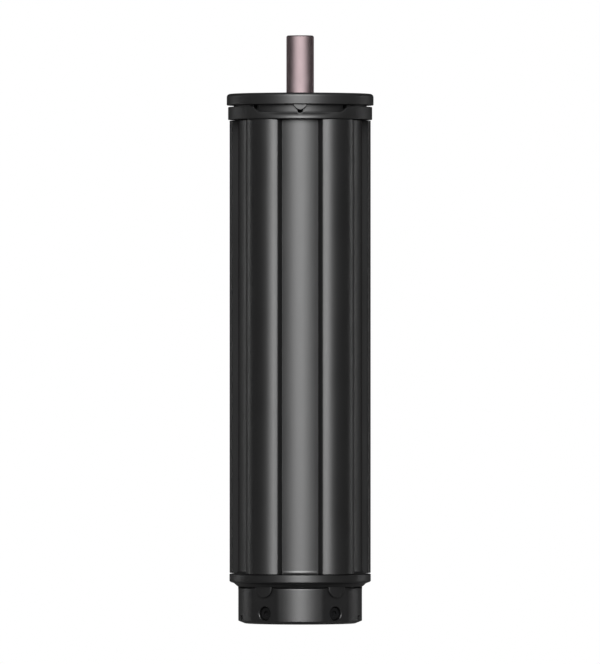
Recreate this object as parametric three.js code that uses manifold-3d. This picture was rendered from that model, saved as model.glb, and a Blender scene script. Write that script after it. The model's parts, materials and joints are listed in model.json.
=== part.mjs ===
// Tubular shutter motor, standing on its closed end with the output pin up.
// Millimetres, +Z up, front is -Y. The origin is the centre of the foot.
// Azimuths are degrees from the front towards +X. Names in _Z0 and _Z1 are lower and upper heights.
import * as THREE from "three";
import { mergeVertices } from "three/addons/utils/BufferGeometryUtils.js";
import Module from "manifold-3d";

const wasm = await Module();
wasm.setup();

// ---- Dimensions shared between sections
const LOBES = 5, PITCH = 360 / LOBES;
const GROOVE_AZ = Array.from({ length: LOBES }, (_, i) => i * PITCH);
const LOBE_AZ = GROOVE_AZ.map((azimuth) => azimuth + PITCH / 2);
const OPPOSITE = [0, 180];
const THIRDS = [0, 120, 240];
const GROOVE_R = 22.5;
const PIN_R = 5.0;
const LOCK_SCREW_Z = 186.1;
const ROTOR_R = 2.0, ROTOR_BORE = ROTOR_R + 0.14;
const BUSH_R = 4.0, BUSH_BORE = ROTOR_R + 0.1, BUSH_SEAT = BUSH_R + 0.15;
const PLATE_SCREW_X = [9, -9], PLATE_HOLE_R = 1.45;

// ---- Materials
// colour, roughness, metalness
const MATERIAL_TABLE = {
  housing: [0x202020, 0.35, 0.6],
  crown: [0x222222, 0.4, 0.6],
  collar: [0x202020, 0.4, 0.5],
  endCap: [0x202020, 0.35, 0.5],
  lockScrew: [0x101010, 0.4, 0.8],
  capScrew: [0x181818, 0.35, 0.9],
  plateScrew: [0x9a9a9c, 0.3, 1],
  seal: [0x141414, 0.8, 0],
  bronze: [0xa9793c, 0.5, 0.8],
  outputShaft: [0xc9bcbc, 0.25, 1],
  rotorShaft: [0xb5b5b8, 0.25, 1],
  socket: [0x2a2a2c, 0.6, 0],
  button: [0xb8b8b8, 0.5, 0],
  led: [0xbfe0c4, 0.15, 0],
  chip: [0x161616, 0.5, 0],
  board: [0x1f5a34, 0.5, 0],
  buttonSwitch: [0x303030, 0.5, 0],
  capacitor: [0x30405a, 0.4, 0.2],
  encoderMagnet: [0x3a3a3c, 0.6, 0.4],
  motorMagnet: [0x3a3a3c, 0.7, 0.3],
  brakePot: [0x6e6e70, 0.5, 0.8],
  brakeCoil: [0x9a4f22, 0.45, 0.6],
  spring: [0x9a9a9a, 0.3, 1],
  brakePlate: [0x7c7c7e, 0.4, 0.9],
  brakeDisc: [0x4a3d33, 0.8, 0.1],
  brushHolder: [0xd8d4c8, 0.6, 0],
  brush: [0x2b2b2b, 0.7, 0.3],
  can: [0x8e9092, 0.35, 0.9],
  commutator: [0xb06a35, 0.4, 0.9],
  core: [0x77787a, 0.4, 0.9],
  winding: [0xa85a28, 0.4, 0.7],
  motorPlate: [0x9c9ea0, 0.45, 0.8],
  ringGear: [0xcfcabb, 0.55, 0],
  pinion: [0xb08d4a, 0.35, 0.9],
  palePlanet: [0xe4e0d2, 0.5, 0],
  steelPlanet: [0x9c9ea2, 0.5, 0.9],
  carrier: [0x8a8c90, 0.4, 0.9],
};
const MATERIAL = Object.fromEntries(
  Object.entries(MATERIAL_TABLE).map(([name, [color, roughness, metalness]]) => [
    name,
    new THREE.MeshStandardMaterial({ color, roughness, metalness }),
  ]),
);

// ---- Building solids
const rad = (degrees) => (degrees * Math.PI) / 180;

// A closed geometry as a solid facing out
function solid(geometry) {
  geometry.deleteAttribute("normal");
  geometry.deleteAttribute("uv");
  const merged = mergeVertices(geometry, 1e-4);
  const positions = new Float32Array(merged.attributes.position.array);
  const indices = merged.index.array;
  const corner = (i) => new THREE.Vector3().fromArray(positions, 3 * i);
  const kept = [];
  let volume = 0;
  for (let i = 0; i < indices.length; i += 3) {
    const [a, b, c] = indices.subarray(i, i + 3);
    if (a === b || b === c || c === a) continue;
    kept.push(a, b, c);
    volume += corner(a).dot(corner(b).cross(corner(c)));
  }
  if (volume < 0)
    for (let i = 0; i < kept.length; i += 3) [kept[i + 1], kept[i + 2]] = [kept[i + 2], kept[i + 1]];
  return new wasm.Manifold(
    new wasm.Mesh({ numProp: 3, vertProperties: positions, triVerts: new Uint32Array(kept) }),
  );
}

// Turned about Z from a closed outline of [radius, height] points
function turned(outline, segments) {
  const points = [...outline, outline[0]].map(([r, z]) => new THREE.Vector2(r, z));
  return solid(new THREE.LatheGeometry(points, segments).rotateX(Math.PI / 2));
}
const sleeve = (inner, outer, z0, z1, segments) =>
  turned([[inner, z0], [outer, z0], [outer, z1], [inner, z1]], segments);

// Straight prism along Z between two heights
const vectors = (points) => points.map(([x, y]) => new THREE.Vector2(x, y));
function prism(outline, z0, z1, holes = []) {
  const shape = new THREE.Shape(vectors(outline));
  shape.holes = holes.map((hole) => new THREE.Path(vectors(hole)));
  const options = { depth: z1 - z0, bevelEnabled: false, steps: 1 };
  return solid(new THREE.ExtrudeGeometry(shape, options).translate(0, 0, z0));
}

const circle = (r, count, x = 0, y = 0) =>
  Array.from({ length: count }, (_, i) => {
    const angle = (2 * Math.PI * i) / count;
    return [x + r * Math.cos(angle), y + r * Math.sin(angle)];
  });
const rod = (r, z0, z1, segments, x = 0, y = 0) => prism(circle(r, segments, x, y), z0, z1);
const block = ([x0, x1], [y0, y1], [z0, z1]) =>
  solid(
    new THREE.BoxGeometry(x1 - x0, y1 - y0, z1 - z0)
      .translate((x0 + x1) / 2, (y0 + y1) / 2, (z0 + z1) / 2),
  );
const polar = (r, azimuth) => [r * Math.sin(rad(azimuth)), -r * Math.cos(rad(azimuth))];
const arc = (r, from, to, steps) =>
  Array.from({ length: steps + 1 }, (_, i) => polar(r, from + ((to - from) * i) / steps));

const spun = (shape, angle) => shape.rotate([0, 0, angle]);
const copies = (shape, angles) => angles.map((angle) => spun(shape, angle));
// A shape built along +Z turned to point outwards, its own +Y upwards
const radial = (shape, azimuth = 0, z = 0) =>
  spun(shape.rotate([90, 0, 0]), azimuth).translate([0, 0, z]);
const sum = (shapes) => shapes.reduce((whole, part) => whole.add(part));
const cut = (body, tools) => tools.reduce((rest, tool) => rest.subtract(tool), body);

const root = new THREE.Group();
function piece(name, shape, material) {
  const { vertProperties, triVerts } = shape.getMesh();
  const geometry = new THREE.BufferGeometry();
  geometry.setAttribute("position", new THREE.BufferAttribute(new Float32Array(vertProperties), 3));
  geometry.setIndex(new THREE.BufferAttribute(new Uint32Array(triVerts), 1));
  geometry.computeVertexNormals();
  const mesh = new THREE.Mesh(geometry, material);
  mesh.name = name;
  root.add(mesh);
}

// ---- Profile tube: five grooves, the first at the front, with hollow round-backed lobes between
const PROFILE_Z0 = 18.2, PROFILE_Z1 = 182.85, PROFILE_BORE = 21.2;
const GROOVE_HALF = 18.9, GROOVE_FLOOR_HALF = 16.7; // degrees
const LOBE_CENTRE = 16.07, LOBE_R = 10.4, LOBE_WALL = 1.3;
const HOLLOW_HALF = 14; // degrees
const HOLLOW_R = PROFILE_BORE + LOBE_WALL + 0.1;

// Points of a lobe's circle of radius r that lie within half degrees of its azimuth
function lobeArc(r, half, steps, azimuth) {
  const across = LOBE_CENTRE * Math.sin(rad(half));
  const edge = LOBE_CENTRE * Math.cos(rad(half)) + Math.sqrt(r * r - across ** 2);
  const turn = Math.atan2(edge * Math.sin(rad(half)), edge * Math.cos(rad(half)) - LOBE_CENTRE);
  const sin = Math.sin(rad(azimuth));
  const cos = Math.cos(rad(azimuth));
  return Array.from({ length: steps + 1 }, (_, i) => {
    const angle = -turn + (2 * turn * i) / steps;
    const side = r * Math.sin(angle);
    const out = LOBE_CENTRE + r * Math.cos(angle);
    return [out * sin + side * cos, -out * cos + side * sin];
  });
}

function profileHousing() {
  const outline = GROOVE_AZ.flatMap((groove, i) => [
    ...arc(GROOVE_R, groove - GROOVE_FLOOR_HALF, groove + GROOVE_FLOOR_HALF, 6),
    ...lobeArc(LOBE_R, PITCH / 2 - GROOVE_HALF, 12, LOBE_AZ[i]),
  ]);
  const hollows = LOBE_AZ.map((lobe) => [
    ...lobeArc(LOBE_R - LOBE_WALL, HOLLOW_HALF, 6, lobe),
    ...arc(HOLLOW_R, lobe + HOLLOW_HALF, lobe - HOLLOW_HALF, 4),
  ]);
  return prism(outline, PROFILE_Z0, PROFILE_Z1, [circle(PROFILE_BORE, 48), ...hollows]);
}
piece("profile_housing", profileHousing(), MATERIAL.housing);

// ---- Crown: ring on the tube's top end, with a low window at front and back and a notch in each
const CROWN_R = 26.2, CROWN_BORE = 21.5, CROWN_SEAT_R = 24.4, CROWN_EDGE = 0.3;
const CROWN_Z0 = 183.05, CROWN_SEAT_Z = 183.9, CROWN_Z1 = 187.7;
const WINDOW_Z0 = 185.6, WINDOW_HALF = 14.95;
const WINDOW_TOP_HALF = 18.13, WINDOW_OVERCUT = 0.5;
const NOTCH_R = 1.25;

function crownRing() {
  const ring = turned(
    [
      [CROWN_BORE, CROWN_Z0], [CROWN_R - CROWN_EDGE, CROWN_Z0], [CROWN_R, CROWN_Z0 + CROWN_EDGE],
      [CROWN_R, CROWN_Z1 - CROWN_EDGE], [CROWN_R - CROWN_EDGE, CROWN_Z1],
      [CROWN_SEAT_R, CROWN_Z1], [CROWN_SEAT_R, CROWN_SEAT_Z], [CROWN_BORE, CROWN_SEAT_Z],
    ],
    48,
  );
  const windowTop = CROWN_Z1 + WINDOW_OVERCUT;
  const windowOutline = [
    [-WINDOW_HALF, WINDOW_Z0], [WINDOW_HALF, WINDOW_Z0],
    [WINDOW_TOP_HALF, windowTop], [-WINDOW_TOP_HALF, windowTop],
  ];
  return cut(ring, [
    ...copies(radial(prism(windowOutline, 14, 30)), OPPOSITE),
    ...copies(radial(rod(NOTCH_R, 20, 30, 12), 0, LOCK_SCREW_Z), OPPOSITE),
  ]);
}
piece("crown_ring", crownRing(), MATERIAL.crown);

// ---- Front flange: cap, neck inside the crown, spigot in the tube, pockets for bush and seal
const FLANGE_R = 26.7, FLANGE_Z0 = 188.3, FLANGE_Z1 = 192.45, FLANGE_NECK = 24.2;
const RIM_ROUND = 1.2, FLANGE_EDGE = 0.25;
const LOCK_HOLE_R = 1.06;
const RELIEF_AZ = 42.2, RELIEF_Z = 187.25, RELIEF_R = 0.95;
const TAB_TOP = FLANGE_Z0 + 0.45, TAB_R0 = 23.85, TAB_R1 = 25.73;
// [x, height]
const TAB_OUTLINE = [
  [-2.6, TAB_TOP], [-2.3, 187.6], [-1.1, 186.55], [0, 186.12],
  [1.1, 186.55], [2.3, 187.6], [2.6, TAB_TOP],
];

function frontFlange() {
  const rim = [0.66, 0.33].map((t) => [
    FLANGE_R - RIM_ROUND * (1 - Math.cos((t * Math.PI) / 2)),
    FLANGE_Z1 - RIM_ROUND * (1 - Math.sin((t * Math.PI) / 2)),
  ]);
  const body = turned(
    [
      [FLANGE_R - RIM_ROUND, FLANGE_Z1], ...rim, [FLANGE_R, FLANGE_Z1 - RIM_ROUND],
      [FLANGE_R, FLANGE_Z0 + FLANGE_EDGE], [FLANGE_R - FLANGE_EDGE, FLANGE_Z0],
      [FLANGE_NECK, FLANGE_Z0], [FLANGE_NECK, 184.1], [20.9, 184.1], [20.9, 180.3],
      [8.0, 180.3], [8.0, 188.2], [5.5, 188.2], [5.5, 189.6], [8.5, 189.6], [8.5, FLANGE_Z1],
    ],
    48,
  );
  const lockHole = radial(rod(LOCK_HOLE_R, 7, 25, 12), 0, LOCK_SCREW_Z);
  const relief = radial(rod(RELIEF_R, 19, 26, 10), 0, RELIEF_Z);
  const reliefAzimuths = OPPOSITE.flatMap((turn) => [turn - RELIEF_AZ, turn + RELIEF_AZ]);
  const drilled = cut(body, [...copies(lockHole, OPPOSITE), ...copies(relief, reliefAzimuths)]);
  // the pointed tabs go on after drilling, as they close the outer ends of the lock holes
  return sum([drilled, ...copies(radial(prism(TAB_OUTLINE, TAB_R0, TAB_R1)), OPPOSITE)]);
}
piece("front_flange", frontFlange(), MATERIAL.housing);

const lockScrew = turned(
  [[0, 8.05], [0.5, 8.05], [0.95, 8.5], [0.95, 14], [0.5, 14], [0.5, 12.8], [0, 12.8]],
  12,
);
piece("bush_lock_screw_front", radial(lockScrew, 0, LOCK_SCREW_Z), MATERIAL.lockScrew);
piece("bush_lock_screw_back", radial(lockScrew, 180, LOCK_SCREW_Z), MATERIAL.lockScrew);

const SEAL_OUTLINE = [
  [8.2, 189.9], [8.2, 192.2], [5.4, 192.2], [5.09, 191.8], [5.09, 191.5], [5.7, 191.2], [5.7, 189.9],
];
piece("shaft_seal", turned(SEAL_OUTLINE, 32), MATERIAL.seal);
piece("output_bush", sleeve(PIN_R + 0.06, 7.7, 181.4, 187.9, 32), MATERIAL.bronze);

// ---- Output pin and its shoulder
const PIN_Z0 = 176.6, PIN_TOP = 213.7, PIN_EDGE = 0.4;
const SHOULDER_R = 6.6, SHOULDER_Z0 = 179.6, SHOULDER_Z1 = 181.1;
piece(
  "output_shaft",
  turned(
    [
      [0, PIN_Z0], [PIN_R, PIN_Z0], [PIN_R, SHOULDER_Z0], [SHOULDER_R, SHOULDER_Z0],
      [SHOULDER_R, SHOULDER_Z1], [PIN_R, SHOULDER_Z1],
      [PIN_R, PIN_TOP - PIN_EDGE], [PIN_R - PIN_EDGE, PIN_TOP], [0, PIN_TOP],
    ],
    32,
  ),
  MATERIAL.outputShaft,
);

// ---- Lower collar: ring, skirt narrowing down to the plug, five tongues
const COLLAR_R = 25.7, COLLAR_BORE = 21.5, COLLAR_Z0 = 13.5, COLLAR_Z1 = 18.0, COLLAR_EDGE = 0.2;
const TONGUE_HALF = 3.6, TONGUE_END = 9.7, TONGUE_TOP = 15.5;
const TONGUE_R0 = 22.25, TONGUE_R1 = 22.9;
const FILLET_HALF = 15.6; // degrees
const FILLET_R0 = GROOVE_R + 0.17, FILLET_R1 = 24.1, FILLET_WIDTH = 1.3, FILLET_HEIGHT = 1.5;

// Round-ended strip below each lobe, curved to the plug
function collarTongue() {
  const roundZ = TONGUE_END + TONGUE_HALF;
  const roundEnd = Array.from({ length: 7 }, (_, i) => {
    const angle = Math.PI * (1 + (i + 1) / 8);
    return [TONGUE_HALF * Math.cos(angle), roundZ + TONGUE_HALF * Math.sin(angle)];
  });
  const outline = [
    [-TONGUE_HALF, TONGUE_TOP], [-TONGUE_HALF, roundZ],
    ...roundEnd,
    [TONGUE_HALF, roundZ], [TONGUE_HALF, TONGUE_TOP],
  ];
  const shell = sleeve(TONGUE_R0, TONGUE_R1, 9, 16.2, 60);
  return radial(prism(outline, 18, 26), PITCH / 2).intersect(shell);
}

// Concave fillet rising from the collar's top face at the foot of each groove
function collarFillet() {
  const curve = Array.from({ length: 5 }, (_, i) => {
    const angle = (Math.PI / 2) * ((i + 1) / 5);
    return [
      FILLET_R1 - FILLET_WIDTH * Math.sin(angle),
      COLLAR_Z1 + FILLET_HEIGHT * (1 - Math.cos(angle)),
    ];
  });
  const outline = [
    [FILLET_R0, COLLAR_Z1 - 0.5], [FILLET_R1, COLLAR_Z1 - 0.5], [FILLET_R1, COLLAR_Z1],
    ...curve,
    [FILLET_R0, COLLAR_Z1 + FILLET_HEIGHT],
  ];
  const sector = [[0, 0], ...arc(30, -FILLET_HALF, FILLET_HALF, 4)];
  return turned(outline, 60).intersect(prism(sector, COLLAR_Z1 - 1, COLLAR_Z1 + 3));
}

const collarRing = turned(
  [
    [COLLAR_BORE, COLLAR_Z0], [22.85, COLLAR_Z0], [24.05, 14.6], [25.25, 15.0], [COLLAR_R, 15.35],
    [COLLAR_R, COLLAR_Z1 - COLLAR_EDGE], [COLLAR_R - COLLAR_EDGE, COLLAR_Z1],
    [COLLAR_BORE, COLLAR_Z1],
  ],
  48,
);
piece(
  "lower_collar",
  sum([collarRing, ...copies(collarFillet(), GROOVE_AZ), ...copies(collarTongue(), GROOVE_AZ)]),
  MATERIAL.collar,
);

// ---- End cap: plug, neck, spigot, two rails for the board, flat pads with screw holes below the
// lobes, a pry slot on each side, openings in the floor
const FOOT_CHAMFER_R = 2.4, FOOT_CHAMFER_Z = 0.95;
const PLUG_R = 22.5, PLUG_TOP = 13.2, PLUG_EDGE = 0.3, PAD_FLAT = 21.8, NECK_R = 21.2;
const CAP_SCREW_Z = 3.9;
const PRY_SLOT_HALF = 1.5, PRY_SLOT_Z = [1.45, 3.05], PRY_SLOT_R = 21.1;
const BOARD_HALF_W = 16.1, BOARD_HALF_T = 0.8, BOARD_Z0 = 20.1, BOARD_GAP = 0.3;
const SOCKET_HALF_X = 6.5, SOCKET_HALF_Y = 3.5, SOCKET_Y = 9, SOCKET_WALL = 1.2, SOCKET_GAP = 0.3;
const BUTTON_X = -9, BUTTON_R = 2.3, BUTTON_GAP = 0.25;
const LED_X = 9, LED_R = 1.5, LED_GAP = 0.3;
const SMALL_Y = -3; // button and LED

// Block on the socket's centre, larger than the socket by grow on each side
const socketBlock = (grow, z) =>
  block(
    [-SOCKET_HALF_X - grow, SOCKET_HALF_X + grow],
    [SOCKET_Y - SOCKET_HALF_Y - grow, SOCKET_Y + SOCKET_HALF_Y + grow],
    z,
  );

function endCap() {
  const body = turned(
    [
      [0, 0], [PLUG_R - FOOT_CHAMFER_R, 0], [PLUG_R, FOOT_CHAMFER_Z],
      [PLUG_R, PLUG_TOP - PLUG_EDGE], [PLUG_R - PLUG_EDGE, PLUG_TOP], [NECK_R, PLUG_TOP],
      [NECK_R, 18.4], [20.9, 18.6], [20.9, 26], [18.8, 26], [18.8, 13.2], [16.8, 12.4], [16.8, 3],
      [0, 3],
    ],
    48,
  );
  const rail = block([15.0, 19.6], [-2.4, 2.4], [13.5, 36]);
  const slotHalfW = BOARD_HALF_W + BOARD_GAP;
  const slotHalfT = BOARD_HALF_T + BOARD_GAP;
  const boardSlot = block([-slotHalfW, slotHalfW], [-slotHalfT, slotHalfT], [BOARD_Z0 - BOARD_GAP, 40]);
  const pad = block([-8, 8], [-26, -PAD_FLAT], [-1, PLUG_TOP + 0.1]);
  const screwHole = turned([[0, 17.9], [1.5, 17.9], [1.5, 19.6], [2.55, 19.6], [2.55, 24], [0, 24]], 12);
  const prySlot = block([-PRY_SLOT_HALF, PRY_SLOT_HALF], [-25, -PRY_SLOT_R], PRY_SLOT_Z);
  return cut(sum([body, ...copies(rail, OPPOSITE)]), [
    boardSlot,
    ...copies(pad, LOBE_AZ),
    ...copies(radial(screwHole, 0, CAP_SCREW_Z), LOBE_AZ),
    ...copies(prySlot, [-PITCH, PITCH]),
    socketBlock(SOCKET_GAP, [-1, 4]),
    rod(BUTTON_R + BUTTON_GAP, -1, 4, 20, BUTTON_X, SMALL_Y),
    rod(LED_R + LED_GAP, -1, 4, 14, LED_X, SMALL_Y),
  ]);
}
piece("end_cap", endCap(), MATERIAL.endCap);

const capScrew = turned(
  [
    [0, 18.2], [1.3, 18.2], [1.3, 19.9], [2.3, 19.9],
    [2.3, 20.9], [1.25, 20.9], [1.25, 20.0], [0, 20.0],
  ],
  12,
);
LOBE_AZ.forEach((lobe, i) =>
  piece("end_cap_screw_" + (i + 1), radial(capScrew, lobe, CAP_SCREW_Z), MATERIAL.capScrew),
);

const socket = socketBlock(0, [0.3, 15]).subtract(socketBlock(-SOCKET_WALL, [0, 9]));
piece("connector_socket", socket, MATERIAL.socket);
const button = turned(
  [
    [0, 0.4], [BUTTON_R, 0.4], [BUTTON_R, 3.4], [3.3, 3.4],
    [3.3, 4.6], [1.6, 4.6], [1.6, 18.5], [0, 18.5],
  ],
  16,
);
piece("set_button", button.translate([BUTTON_X, SMALL_Y, 0]), MATERIAL.button);
piece("status_led", rod(LED_R, 0.2, 19.4, 12, LED_X, SMALL_Y), MATERIAL.led);

// ---- Electronics on a board along the tube, with a sensor under the magnet on the motor shaft
const board = block([-BOARD_HALF_W, BOARD_HALF_W], [-BOARD_HALF_T, BOARD_HALF_T], [BOARD_Z0, 60]);
const CAPACITOR_Y = -7.4;
const capacitor = turned([[0, 33], [5.7, 33], [6, 33.3], [6, 52.7], [5.7, 53], [0, 53]], 20);
piece("hall_sensor", block([-2, 2], [1.0, 2.2], [55.5, 59.5]), MATERIAL.chip);
piece("encoder_magnet", sleeve(ROTOR_BORE, 5.4, 61.5, 63.6, 20), MATERIAL.encoderMagnet);
piece("control_board", board, MATERIAL.board);
piece("button_switch", block([-12, -6], [-4.8, -1.0], [19.8, 23.4]), MATERIAL.buttonSwitch);
piece("driver_chip", block([-4.5, 4.5], [1.0, 3.0], [40, 50]), MATERIAL.chip);
piece("smoothing_capacitor", capacitor.translate([0, CAPACITOR_Y, 0]), MATERIAL.capacitor);

// ---- Holding brake: pot with coil and spring, plate that is pulled off the disc
const LUG_ANGLES = [30, 150, 270]; // from +X towards +Y
const SPRING = { r: 5.6, wireR: 0.45, turns: 3, z0: 70.5, rise: 4.15 };

const pot = turned(
  [
    [3.0, 64.2], [19.5, 64.2], [19.5, 74.6], [16.6, 74.6], [16.6, 66.8],
    [9.0, 66.8], [9.0, 74.6], [7.0, 74.6], [7.0, 69.8], [3.0, 69.8],
  ],
  28,
);
const lug = block([17.9, 19.4], [-1.6, 1.6], [74, 79.4]);
piece("brake_coil_housing", sum([pot, ...copies(lug, LUG_ANGLES)]), MATERIAL.brakePot);
piece("brake_coil", sleeve(9.3, 16.3, 67.1, 74.2, 28), MATERIAL.brakeCoil);

class Helix extends THREE.Curve {
  getPoint(t) {
    const angle = 2 * Math.PI * SPRING.turns * t;
    const z = SPRING.z0 + SPRING.rise * t;
    return new THREE.Vector3(SPRING.r * Math.cos(angle), SPRING.r * Math.sin(angle), z);
  }
}
const wire = new THREE.Shape(vectors(circle(SPRING.wireR, 5)));
const coiling = { steps: 36, bevelEnabled: false, extrudePath: new Helix() };
piece("brake_spring", solid(new THREE.ExtrudeGeometry(wire, coiling)), MATERIAL.spring);

const lugNotch = block([17.5, 21], [-2.0, 2.0], [74, 79]);
const brakePlate = cut(sleeve(4.4, 19.2, 75.2, 77.1, 36), copies(lugNotch, LUG_ANGLES));
piece("brake_plate", brakePlate, MATERIAL.brakePlate);
piece("brake_disc", sleeve(ROTOR_BORE, 17, 77.3, 79.3, 28), MATERIAL.brakeDisc);

// ---- Motor: brushes, bushes, can and magnets
const brushBox = block([6.4, 16.5], [-3.2, 3.2], [85, 92.2])
  .subtract(block([5, 20], [-2.15, 2.15], [87, 91]));
const holderDisc = sleeve(BUSH_SEAT, 20.6, 79.8, 85.8, 36);
piece("brush_holder", sum([holderDisc, ...copies(brushBox, OPPOSITE)]), MATERIAL.brushHolder);
const brush = block([5.45, 13], [-2, 2], [87.15, 90.85]);
copies(brush, OPPOSITE).forEach((copy, i) => piece("brush_" + (i + 1), copy, MATERIAL.brush));
piece("motor_rear_bush", sleeve(BUSH_BORE, BUSH_R, 79.9, 84.9, 16), MATERIAL.bronze);
piece("motor_front_bush", sleeve(BUSH_BORE, BUSH_R, 132.7, 136.2, 16), MATERIAL.bronze);

const canShell = turned(
  [
    [19.2, 86.1], [20.6, 86.1], [20.6, 134], [5.5, 134],
    [5.5, 136.4], [BUSH_SEAT, 136.4], [BUSH_SEAT, 132.6], [19.2, 132.6],
  ],
  32,
);
const canHoles = PLATE_SCREW_X.map((x) => rod(PLATE_HOLE_R, 131, 135, 12, x));
piece("motor_can", cut(canShell, canHoles), MATERIAL.can);
// curved magnets centred on +X and -X
const magnet = prism([...arc(19.0, -62, 62, 12), ...arc(15.6, 62, -62, 12)], 97, 129);
copies(magnet, [90, 270]).forEach((copy, i) =>
  piece("magnet_" + (i + 1), copy, MATERIAL.motorMagnet),
);

// ---- Rotor
piece("rotor_shaft", sleeve(0, ROTOR_R, 61.2, 148.4, 16), MATERIAL.rotorShaft);
const COMMUTATOR_OUTLINE = [
  [ROTOR_BORE, 86.4], [5.2, 86.4], [5.2, 93.2], [6.6, 93.2], [6.6, 94.8], [ROTOR_BORE, 94.8],
];
piece("commutator", turned(COMMUTATOR_OUTLINE, 20), MATERIAL.commutator);

// five round slots, each open to the rim of the core and filled by a winding bar
const SLOT_AZ = [0, 72, 144, 216, 288], SLOT_CENTRE_R = 10.8, SLOT_R = 2.9, BAR_R = 2.5;
const slotMouth = block([-0.9, 0.9], [-17, -11], [98, 128]);
const coreSlots = SLOT_AZ.flatMap((azimuth) => [
  rod(SLOT_R, 98, 128, 14, ...polar(SLOT_CENTRE_R, azimuth)),
  spun(slotMouth, azimuth),
]);
const coreBlank = prism(circle(15, 50), 99, 127, [circle(ROTOR_BORE, 16)]);
piece("armature_core", cut(coreBlank, coreSlots), MATERIAL.core);
const LOWER_WINDING = [
  [7.8, 95.6], [8.6, 95.2], [12.8, 95.2], [13.6, 96], [13.6, 98], [12.8, 98.8], [7.8, 98.8],
];
const UPPER_WINDING = [
  [7.8, 127.2], [12.8, 127.2], [13.6, 128], [13.6, 130], [12.8, 130.8], [8.6, 130.8], [7.8, 130.4],
];
const bars = SLOT_AZ.map((azimuth) => rod(BAR_R, 97, 129, 10, ...polar(SLOT_CENTRE_R, azimuth)));
piece(
  "armature_winding",
  sum([turned(LOWER_WINDING, 25), turned(UPPER_WINDING, 25), ...bars]),
  MATERIAL.winding,
);

// ---- Plate between motor and gears, with two screws
const plateHoles = PLATE_SCREW_X.flatMap((x) => [
  rod(PLATE_HOLE_R, 134, 139, 12, x),
  rod(2.5, 136, 139, 14, x),
]);
piece("motor_plate", cut(sleeve(5.9, 20.7, 134.2, 138.1, 36), plateHoles), MATERIAL.motorPlate);
const plateScrew = turned(
  [
    [0, 132.9], [1.15, 132.9], [1.15, 136.2], [2.2, 136.2],
    [2.2, 137.9], [1.0, 137.9], [1.0, 137.1], [0, 137.1],
  ],
  12,
);
PLATE_SCREW_X.forEach((x, i) =>
  piece("motor_plate_screw_" + (i + 1), plateScrew.translate([x, 0, 0]), MATERIAL.plateScrew),
);

// ---- Gears: the same tooth counts in each of three stages
const MODULE = 1, PRESSURE_ANGLE = rad(20), SUN = 12, PLANET = 12, RING = 36, SLACK = 0.16;
const ORBIT = (MODULE * (SUN + PLANET)) / 2;
const WHEEL_RADII = [5.0, 5.9, 6.8], RING_RADII = [17.35, 18.1, 19.0];
const CARRIER_R = 16.6, CARRIER_PIN_R = 1.55, PLANET_BORE = 1.65;
const OVERLAP = 0.2; // of pins and sun into their carrier disc
const STAGES = [
  { planetZ: [139.9, 148.9], pinZ0: 140.1, discZ: [149.3, 151.5], sunTop: 162.1 },
  { planetZ: [152.0, 161.8], pinZ0: 152.3, discZ: [162.6, 164.8], sunTop: 175.9 },
  { planetZ: [165.3, 175.7], pinZ0: 165.6, discZ: [176.4, 179.4] },
];

// Involute outline, its pitch-line tooth narrower than half the pitch by slack
function teeth(count, radii, slack, turn = 0) {
  const involute = (angle) => Math.tan(angle) - angle;
  const pitchR = (MODULE * count) / 2;
  const baseR = pitchR * Math.cos(PRESSURE_ANGLE);
  const pitchHalf = ((Math.PI * MODULE) / 2 - slack) / 2 / pitchR;
  const flank = radii.map((r) => {
    const angle = Math.acos(Math.min(1, baseR / Math.max(r, baseR)));
    return [r, pitchHalf + involute(PRESSURE_ANGLE) - involute(angle)];
  });
  return Array.from({ length: count }, (_, i) => {
    const centre = (2 * Math.PI * i) / count + rad(turn);
    const point = (r, angle) => [r * Math.cos(angle), r * Math.sin(angle)];
    return [
      ...flank.map(([r, half]) => point(r, centre - half)),
      ...flank.toReversed().map(([r, half]) => point(r, centre + half)),
    ];
  }).flat();
}
const sun = (z0, z1, holes) => prism(teeth(SUN, WHEEL_RADII, SLACK), z0, z1, holes);
const ringSpaces = teeth(RING, RING_RADII, -SLACK, 180 / RING);
piece("ring_gear", prism(circle(20.9, 48), 138.4, 180.0, [ringSpaces]), MATERIAL.ringGear);
piece("sun_pinion", sun(138.6, STAGES[0].planetZ[1], [circle(ROTOR_BORE, 16)]), MATERIAL.pinion);

function planets(stage, [z0, z1], material) {
  const outline = teeth(PLANET, WHEEL_RADII, SLACK, 180 / PLANET);
  const planet = prism(outline, z0, z1, [circle(PLANET_BORE, 16)]).translate([ORBIT, 0, 0]);
  copies(planet, THIRDS).forEach((copy, i) => piece("planet_" + stage + "abc"[i], copy, material));
}
// Disc on three pins, with the next stage's sun on top where there is one
function carrier({ pinZ0, discZ: [z0, z1], sunTop }, holes) {
  const pin = rod(CARRIER_PIN_R, pinZ0, z0 + OVERLAP, 12, ORBIT);
  const parts = [prism(circle(CARRIER_R, 36), z0, z1, holes), ...copies(pin, THIRDS)];
  if (sunTop) parts.push(sun(z1 - OVERLAP, sunTop));
  return sum(parts);
}
planets(1, STAGES[0].planetZ, MATERIAL.palePlanet);
piece("carrier_1", carrier(STAGES[0]), MATERIAL.carrier);
planets(2, STAGES[1].planetZ, MATERIAL.steelPlanet);
piece("carrier_2", carrier(STAGES[1]), MATERIAL.carrier);
planets(3, STAGES[2].planetZ, MATERIAL.steelPlanet);
piece("output_carrier", carrier(STAGES[2], [circle(PIN_R + 0.12, 24)]), MATERIAL.carrier);

export default root;
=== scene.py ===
"""An upright tubular unit: an end cap with a socket, a button and a light pipe at the bottom,
a collar with five tongues, a five-lobed profile tube, a crown, a flange and an output pin on top.
It stands on z = 0 with its axis on Z, and its front faces -Y."""
import json
import math

import bmesh
import bpy
from mathutils import Matrix, Vector


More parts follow.
